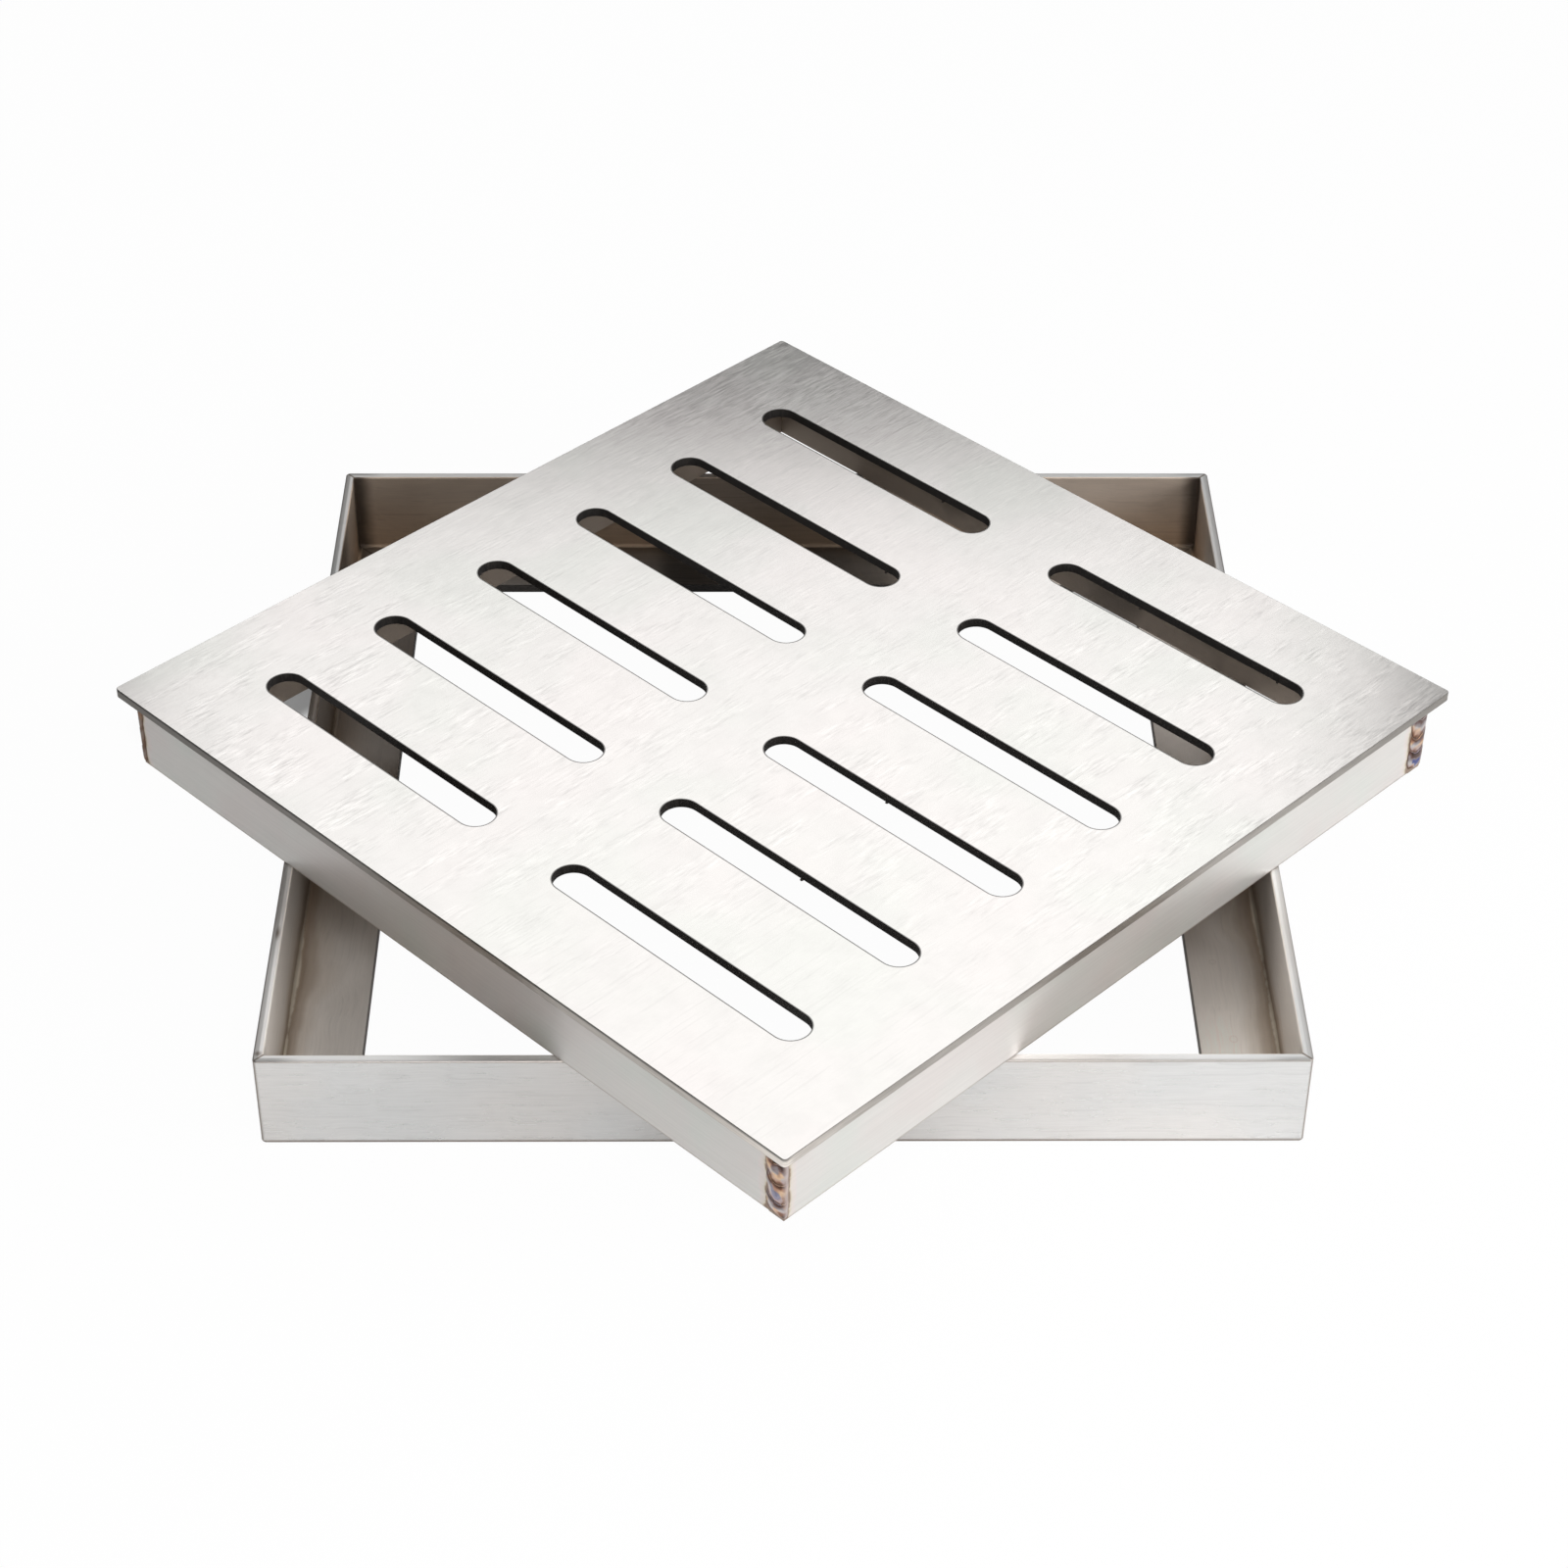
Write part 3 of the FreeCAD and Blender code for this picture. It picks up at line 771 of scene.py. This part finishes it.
weldLook = {
    "roughness": 0.20,
    "warm": [(0.00, (0.05, 0.022, 0.014)), (0.14, (0.14, 0.06, 0.035)), (0.28, (0.48, 0.26, 0.17)),
             (0.46, (0.78, 0.56, 0.37)), (0.64, (0.62, 0.42, 0.32)), (0.82, (0.27, 0.13, 0.08)),
             (1.00, (0.06, 0.03, 0.02))],
    "cool": [(0.00, (0.05, 0.025, 0.02)), (0.13, (0.14, 0.075, 0.065)), (0.30, (0.31, 0.27, 0.28)),
             (0.54, (0.60, 0.56, 0.56)), (0.75, (0.54, 0.43, 0.42)), (0.90, (0.24, 0.13, 0.10)),
             (1.00, (0.06, 0.03, 0.025))],
    "blue": (0.075, 0.095, 0.29, 1),
    "toe": (0.12, 0.07, 0.05, 1),
    "returned": ((0.20, 0.13, 0.09, 1), (0.60, 0.51, 0.49, 1)),     # round the corner, left and right
    "patch": 5.5 * mm,           # how far the colours keep one lean
}


def readAttribute(tree, name):
    return valueOf(tree, "ShaderNodeAttribute", key="Fac", attribute_name=name)


def weldFinish():
    # each puddle has its own run of heat colours, warm or cool, from its near edge to its far edge
    material, tree, surface = newMaterial("heatTintedWeld")
    place = objectPlace(tree)
    names = ("ring", "puddle", "edge", "returned")
    ring, puddle, edge, returned = (readAttribute(tree, name) for name in names)
    drift = noiseAt(place, 450.0, 2.0) - 0.5
    share = ring + drift * 0.5
    warm, cool = colourRamp(share, weldLook["warm"]), colourRamp(share, weldLook["cool"])
    offset = joinXyz(puddle * 0.0013, 0.0, 0.0)
    shifted = vectorCalc("ADD", place, offset)
    lean = noiseAt(shifted, 1 / weldLook["patch"], 1.0)
    colour = blendColour(span(lean, 0.46, 0.54), warm, cool)
    oval = fade(abs(share - 0.5), 0.14, 0.26)
    chosen = noiseAt(joinXyz(puddle * 3.71, 0.0, 0.0), 1.0, 0.0)
    chosen = span(chosen, 0.49, 0.51) * span(lean, 0.50, 0.54)
    skirtHeight = skirtTop - skirtFoot
    lowDown = fade(splitXyz(place)[2], skirtFoot + 0.35 * skirtHeight, skirtFoot + 0.5 * skirtHeight)
    blue = chosen * lowDown * span(edge, 0.40, 0.60)
    colour = blendColour(blue * oval, colour, weldLook["blue"])
    # round the corner it is a dull pink, and brown at the left
    x = splitXyz(place)[0]
    dull = blendColour(span(x, -0.15, -0.10), *weldLook["returned"])
    colour = blendColour(returned * 0.8, colour, dull)
    # the bead's toes are burnt dark
    toe = fade(edge + drift * 0.3, 0.0, 0.14, 0.85)
    toe *= span(returned, 0.0, 1.0, 1.0, 0.35)
    plug(surface["Base Color"], blendColour(toe, colour, weldLook["toe"]))
    plug(surface["Roughness"], span(edge, 0.0, 0.3, 0.42, weldLook["roughness"]))
    addBump(surface, drift, 0.3, 0.00005)
    return material


def drossFinish():
    # melted drips under the laser's cut
    material, tree, surface = newMaterial("burntDross", 0.3)
    place = objectPlace(tree)
    crust = noiseAt(place, 1400.0, 3.0)
    plug(surface["Base Color"], colourRamp(crust, [
        (0.35, (0.02, 0.016, 0.014)), (0.65, (0.07, 0.055, 0.045))]))
    plug(surface["Roughness"], span(crust, *noiseRange, 0.6, 0.8))
    addBump(surface, crust, 0.5, 0.0001)
    return material


finish = {
    "plate": plateFinish(),
    "cut": cutWallFinish(),
    "edge": shearedEdgeFinish(),
    "eased": easedEdgeFinish(),
    "skirt": skirtFinish(),
    "frameAcross": frameFinish("brushedFrameAcross", 0.0),
    "frameAlong": frameFinish("brushedFrameAlong", math.pi / 2),
    "weld": weldFinish(),
    "dross": drossFinish(),
}


def dressNode(name, material):
    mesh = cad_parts[name].data
    mesh.materials.clear()
    mesh.materials.append(material)


for side in ("front", "back"):
    dressNode("frame_" + side, finish["frameAcross"])
for side in ("left", "right"):
    dressNode("frame_" + side, finish["frameAlong"])
for side in ("front_left", "front_right", "back_left", "back_right"):
    dressNode("frame_weld_" + side, finish["frameAcross"])
    dressNode("skirt_" + side, finish["skirt"])


# The lid's plate

mergeReach = 0.001 * mm


def newGeometryTree(name, inputs):
    shape = ("Geometry", "Geometry")
    return newGroup(name, [shape, *inputs], [shape], "GeometryNodeTree")


def joinShapes(tree, *shapes):
    node = tree.nodes.new("GeometryNodeJoinGeometry")
    for shape in shapes:
        plug(node.inputs[0], shape)
    return Value(node.outputs[0])


def setMaterial(tree, shape, material, selection=True):
    return geometry(tree, "SetMaterial", {"Geometry": shape, "Selection": selection, "Material": material})


def growMesh(name, tree, values, extraModifiers=()):
    # runs a tree on an empty mesh with these input values, and keeps the result as a plain mesh
    holder = newObject(name + "Maker", bpy.data.meshes.new(name + "Maker"))
    for material in finish.values():
        holder.data.materials.append(material)
    modifier = holder.modifiers.new("grow", "NODES")
    modifier.node_group = tree
    for item in tree.interface.items_tree:
        if item.item_type == "SOCKET" and item.in_out == "INPUT" and item.name in values:
            modifier[item.identifier] = values[item.name]
    for kind, settings in extraModifiers:
        extra = holder.modifiers.new(kind, kind)
        for key, value in settings.items():
            setattr(extra, key, value)
    bpy.context.view_layer.update()
    seen = holder.evaluated_get(bpy.context.evaluated_depsgraph_get())
    mesh = bpy.data.meshes.new_from_object(seen)
    mesh.name = name
    bpy.data.objects.remove(holder)
    return mesh


def keepPiece(name, mesh, slotName, *nodes):
    piece = newObject(name, mesh)
    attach(piece, root)
    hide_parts(*nodes)
    print(name, len(mesh.polygons), "faces")


slotInputs = [
    ("Slot Width", "Float", 0.012),
    ("Slot Length", "Float", 0.1),
    ("Slots In Row", "Int", 6),
    ("Row Length", "Float", 0.215),
    ("Row Spacing", "Float", 0.13),
    ("Row Shift", "Float", 0.0),
]


def slotOutlines(tree, given):
    # a curve round each slot, at the level of the plate's underside
    bar = geometry(tree, "CurvePrimitiveQuadrilateral",
                   {"Width": given["Slot Width"], "Height": given["Slot Length"]})
    nearlyHalf = given["Slot Width"] * 0.49999
    slot = geometry(tree, "FilletCurve", {
        "Curve": bar, "Radius": nearlyHalf, "Count": plate["arcPoints"]}, mode="POLY")
    places = geometry(tree, "MeshGrid", {
        "Size X": given["Row Length"], "Size Y": given["Row Spacing"],
        "Vertices X": given["Slots In Row"], "Vertices Y": 2})
    shifted = geometry(tree, "Transform", {
        "Geometry": places, "Translation": joinXyz(given["Row Shift"], 0.0, 0.0)})
    slots = geometry(tree, "InstanceOnPoints", {"Points": shifted, "Instance": slot})
    return geometry(tree, "RealizeInstances", {0: slots})


def slottedPlateTree():
    # a square outline with rows of round-ended slots, filled and drawn up to its thickness
    tree, given, out = newGeometryTree("slottedPlate", [
        ("Side", "Float", 0.29),
        ("Corner Radius", "Float", 0.001),
        ("Thickness", "Float", 0.003),
        *slotInputs,
        ("Top Face", "Material"),
        ("Cut Wall", "Material"),
        ("Outer Edge", "Material"),
    ])
    square = geometry(tree, "CurvePrimitiveQuadrilateral", {"Width": given["Side"], "Height": given["Side"]})
    square = geometry(tree, "FilletCurve", {
        "Curve": square, "Radius": given["Corner Radius"], "Count": 5}, mode="POLY")
    outlines = joinShapes(tree, square, slotOutlines(tree, given))
    face = geometry(tree, "FillCurve", {"Curve": outlines}, mode="NGONS")
    solid = geometry(tree, "ExtrudeMesh", {
        "Mesh": face, "Offset": (0, 0, 1), "Offset Scale": given["Thickness"], "Individual": False}, "Mesh")
    closed = joinShapes(tree, solid, geometry(tree, "FlipFaces", {0: face}))
    welded = geometry(tree, "MergeByDistance", {"Geometry": closed, "Distance": mergeReach})
    shape = geometry(tree, "RealizeInstances", {0: welded})
    # an upright face far out is the outer edge, and one further in is a slot's wall
    upright = abs(splitXyz(geometry(tree, "InputNormal"))[2]) < 0.5
    x, y, z = splitXyz(geometry(tree, "InputPosition"))
    outer = larger(abs(x), abs(y)) > given["Side"] * 0.495
    shape = setMaterial(tree, shape, given["Top Face"])
    shape = setMaterial(tree, shape, given["Cut Wall"], upright)
    shape = setMaterial(tree, shape, given["Outer Edge"], upright * outer)
    plug(out["Geometry"], shape)
    return tree


def makePlate():
    values = {
        "Side": 2 * lidReach,
        "Corner Radius": plateCorner,
        "Thickness": sheet,
        **slotValues(),
        "Top Face": finish["plate"],
        "Cut Wall": finish["cut"],
        "Outer Edge": finish["edge"],
    }
    # the tree's mesh has an empty first slot and three finishes; the bevel's faces point to a fifth slot
    eased = ("BEVEL", {"width": plate["easedEdge"], "segments": 2, "limit_method": "ANGLE",
                       "angle_limit": math.radians(60), "material": 4})
    mesh = growMesh("lidPlate", slottedPlateTree(), values, [eased])
    numbers = [0] * len(mesh.polygons)
    mesh.polygons.foreach_get("material_index", numbers)
    mesh.materials.clear()
    for key in ("plate", "cut", "edge", "eased"):
        mesh.materials.append(finish[key])
    mesh.polygons.foreach_set("material_index", [number - 1 for number in numbers])
    mesh.transform(Matrix.Translation((0, 0, lidTop - sheet)) @ Matrix.Rotation(lidAngle, 4, "Z"))
    keepPiece("lidPlate", mesh, "plate", "slotted_plate")


dross = {
    "Spacing": 3.7 * mm,
    "Share": 0.028,              # how many of the places hold a drip
    "Smallest": (0.35 * mm, 0.35 * mm, 0.25 * mm),
    "Largest": (0.8 * mm, 0.6 * mm, 0.5 * mm),
    "Seed": 5,
    "lumps": 0.9 * mm,           # how far the crust swells and sinks
    "hang": 0.15 * mm,           # of a drip's middle under the plate
}


def drossTree():
    # drips of melted steel left hanging along the lower edges of the slots
    tree, given, out = newGeometryTree("cutDross", [
        *slotInputs,
        ("Spacing", "Float", 0.003),
        ("Share", "Float", 0.2),
        ("Smallest", "Vector"),
        ("Largest", "Vector"),
        ("Seed", "Int", 0),
        ("Crust", "Material"),
    ])
    seed = given["Seed"]
    line = geometry(tree, "ResampleCurve",
                    {"Curve": slotOutlines(tree, given), "Length": given["Spacing"]}, mode="LENGTH")
    chosen = valueOf(tree, "FunctionNodeRandomValue", {"Probability": given["Share"], "Seed": seed}, 3,
                     data_type="BOOLEAN")
    size = valueOf(tree, "FunctionNodeRandomValue",
                   {0: given["Smallest"], 1: given["Largest"], "Seed": seed}, data_type="FLOAT_VECTOR")
    turn = valueOf(tree, "FunctionNodeRandomValue", {0: (0, 0, 0), 1: (0, 0, math.tau), "Seed": seed},
                   data_type="FLOAT_VECTOR")
    ball = geometry(tree, "MeshIcoSphere", {"Radius": 1.0, "Subdivisions": 3})
    drips = geometry(tree, "InstanceOnPoints", {
        "Points": line, "Selection": chosen, "Instance": ball, "Rotation": turn, "Scale": size})
    shape = geometry(tree, "RealizeInstances", {0: drips})
    bulge = noiseAt(geometry(tree, "InputPosition"), 900.0, 1.0)
    push = (bulge - 0.5) * dross["lumps"]
    normal = geometry(tree, "InputNormal")
    offset = valueOf(tree, "ShaderNodeVectorMath", {0: normal, "Scale": push}, operation="SCALE")
    shape = geometry(tree, "SetPosition", {"Geometry": shape, "Offset": offset})
    shape = geometry(tree, "SetShadeSmooth", {0: shape})
    plug(out["Geometry"], setMaterial(tree, shape, given["Crust"]))
    return tree


def makeDross():
    mesh = growMesh("cutDross", drossTree(), {**slotValues(), **dross, "Crust": finish["dross"]})
    level = lidTop - sheet - dross["hang"]
    mesh.transform(Matrix.Translation((0, 0, level)) @ Matrix.Rotation(lidAngle, 4, "Z"))
    keepPiece("cutDross", mesh, "plate")


# Welds

cornerBead = {
    "Length": skirtTop - skirtFoot - 0.9 * mm,
    "Wide Side": 6.8 * mm,
    "Return": 1.5 * mm,
    "Crown": 0.62 * mm,
    "Pitch": 6.6 * mm,
    "Bow": 0.45,                 # how far a puddle's edge sags, in pitches
    "rows": 150,
    "halfLoop": 44,              # steps across the bead
    "taper": 2.2 * mm,
    "seeds": {"near": 2.0, "right": 7.0, "far": 11.0, "left": 17.0},
}

stitchBead = {
    "Leg": 3 * mm,
    "Length": 20 * mm,
    "Bulge": 0.7 * mm,
    "Pitch": 2.6 * mm,
    "Bow": 0.6,
    "Stitches": 3,               # to each bar
    "rows": 90,
    "halfLoop": 14,
    "taper": 1.8 * mm,
    "margin": 35 * mm,           # from the skirt's corner to the middle of the first stitch
    "firstSeed": 3.0,
}

# how many quarter turns each corner and each side stands from the right corner and the front right side
cornerTurns = {"right": 0, "far": 1, "left": 2, "near": 3}
sideTurns = {"front_right": 0, "back_right": 1, "back_left": 2, "front_left": 3}

puddleInputs = [
    ("Length", "Float", 0.02),
    ("Pitch", "Float", 0.005),
    ("Bow", "Float", 0.5),
    ("Seed", "Float", 0.0),
    ("Finish", "Material"),
]


def beadGrid(tree, bead):
    # a sheet of points to wrap: down the bead from 0 to 1, and across it over the top and back beneath
    grid = geometry(tree, "MeshGrid", {
        "Size X": 1.0, "Size Y": 1.0, "Vertices X": bead["rows"], "Vertices Y": 2 * bead["halfLoop"] + 1})
    x, y, z = splitXyz(geometry(tree, "InputPosition"))
    return grid, x + 0.5, 1.0 - abs(y) * 2.0, y < 0.0


def puddlePattern(given, down, across):
    # where each point lies in its puddle, and how the puddles swell the bead and its edges
    distance = down * given["Length"]
    steps = distance / given["Pitch"]
    wander = noiseAt(joinXyz(steps, given["Seed"], across), 1.0, 2.0)
    steps += (wander - 0.5) * 1.1
    side = across * 2.0 - 1.0
    phase = steps + side * side * given["Bow"]
    phase += given["Seed"] * 5.0
    ring, puddle = calc("FRACT", phase), calc("FLOOR", phase)
    # a scale's profile: it starts high over the last puddle and sinks to where the next one covers it
    scale = 0.62 + calc("SQRT", 1.0 - ring) * 0.38
    fine = calc("SINE", ring * (6 * math.tau)) * 0.035
    dome = calc("SQRT", larger(1.0 - side * side, 0.0))
    height = dome * (scale + fine)
    borderRing = calc("FRACT", steps + given["Bow"] + given["Seed"] * 5.0)
    swell = 0.92 + calc("SINE", borderRing * math.pi) * 0.10
    edge = 1.0 - abs(side)
    return distance, height, swell, {"ring": ring, "puddle": puddle, "edge": edge}


def endTaper(distance, length, reach):
    # rises from 0 at either end to 1, as a quarter circle does
    nearest = smaller(distance, length - distance)
    short = 1.0 - smaller(nearest / reach, 1.0)
    return calc("SQRT", larger(1.0 - short * short, 0.0))


def storeMarks(tree, grid, marks):
    # keeps values of the flat sheet before it is bent
    for name, value in marks.items():
        grid = geometry(tree, "StoreNamedAttribute",
                        {"Geometry": grid, "Name": name, "Value": value}, data_type="FLOAT", domain="POINT")
    return grid


def finishBead(tree, given, grid, position, points=None):
    shape = geometry(tree, "SetPosition", {"Geometry": grid, "Position": position})
    shape = geometry(tree, "MergeByDistance", {"Geometry": shape, "Distance": mergeReach})
    shape = geometry(tree, "SetShadeSmooth", {0: shape})
    if points:
        shape = geometry(tree, "InstanceOnPoints", {"Points": points, "Instance": shape})
    shape = geometry(tree, "RealizeInstances", {0: shape})
    return setMaterial(tree, shape, given["Finish"])


def cornerBeadTree():
    # a bead down the outer corner of two bars, wide on one face and turned a little way round the edge;
    # the edge is the Z axis, the wide face looks along -Y and the other along +X
    tree, given, out = newGeometryTree("cornerBead", puddleInputs + [
        ("Wide Side", "Float", 0.007),
        ("Return", "Float", 0.0015),
        ("Crown", "Float", 0.0005),
    ])
    grid, down, across, onTop = beadGrid(tree, cornerBead)
    distance, height, swell, marks = puddlePattern(given, down, across)
    taper = endTaper(distance, given["Length"], cornerBead["taper"])
    width = swell * (0.3 + taper * 0.7)
    wide = given["Wide Side"] * width
    back = given["Return"] * width
    along = (wide + back) * across - wide
    turn = span(along, -0.0006, 0.0005, 0.0, math.pi / 2)
    marks["returned"] = turn / (math.pi / 2)
    top = height * given["Crown"] * taper
    sunk = marks["edge"] * taper * -0.0003
    stand = onTop * top + (1.0 - onTop) * sunk
    x = smaller(along, 0.0) + calc("SINE", turn) * stand
    y = larger(along, 0.0) - calc("COSINE", turn) * stand
    z = distance * -1.0
    grid = storeMarks(tree, grid, marks)
    plug(out["Geometry"], finishBead(tree, given, grid, joinXyz(x, y, z)))
    return tree


def stitchBeadTree():
    # fillet welds in a row along X; the wall they join is the XZ plane and the plate lies over them
    tree, given, out = newGeometryTree("stitchBead", puddleInputs + [
        ("Leg", "Float", 0.003),
        ("Bulge", "Float", 0.0006),
        ("Stitches", "Int", 3),
        ("Row Length", "Float", 0.2),
    ])
    grid, down, across, onTop = beadGrid(tree, stitchBead)
    distance, height, swell, marks = puddlePattern(given, down, across)
    taper = endTaper(distance, given["Length"], stitchBead["taper"])
    leg = given["Leg"] * swell * (0.4 + taper * 0.6)
    # the open face bulges out of the corner, and the back follows wall and plate
    bulge = height * given["Bulge"] * halfRoot
    faceOut = leg * across + bulge
    faceDown = leg * (1.0 - across) + bulge
    side = across * 2.0 - 1.0
    backOut = leg * larger(side, 0.0)
    backDown = leg * larger(side * -1.0, 0.0)
    full = onTop * taper
    empty = 1.0 - full
    y = faceOut * full + backOut * empty
    z = faceDown * full + backDown * empty
    x = distance - given["Length"] * 0.5
    step = given["Row Length"] / (given["Stitches"] - 1.0)
    start = joinXyz(given["Row Length"] * -0.5, 0.0, 0.0)
    row = geometry(tree, "MeshLine", {
        "Count": given["Stitches"], "Start Location": start, "Offset": joinXyz(step, 0.0, 0.0)})
    grid = geometry(tree, "FlipFaces", {0: storeMarks(tree, grid, marks)})
    plug(out["Geometry"], finishBead(tree, given, grid, joinXyz(x, y, z * -1.0), row))
    return tree


def keepWeld(name, tree, values, quarters, place, node):
    # place: of the tree's origin beside the front right bar; the quarter turns take it round the lid
    mesh = growMesh(name, tree, {**values, "Finish": finish["weld"]})
    turn = Matrix.Rotation(lidAngle + quarters * math.pi / 2, 4, "Z")
    mesh.transform(turn @ Matrix.Translation(place))
    keepPiece(name, mesh, "weld", node)


def makeWelds():
    tree = cornerBeadTree()
    place = (skirtReach, -skirtReach, skirtTop)
    for corner, seed in cornerBead["seeds"].items():
        keepWeld(corner + "CornerBead", tree, {**cornerBead, "Seed": seed}, cornerTurns[corner], place,
                 "skirt_weld_" + corner)
    tree = stitchBeadTree()
    rowLength = 2 * (skirtReach - stitchBead["margin"])
    for side, quarters in sideTurns.items():
        values = {**stitchBead, "Seed": stitchBead["firstSeed"] + quarters, "Row Length": rowLength}
        name = "stitches" + "".join(word.capitalize() for word in side.split("_"))
        keepWeld(name, tree, values, quarters, (0, -skirtInner, skirtTop), "plate_stitches_" + side)


makeStudio()
makePlate()
makeDross()
makeWelds()
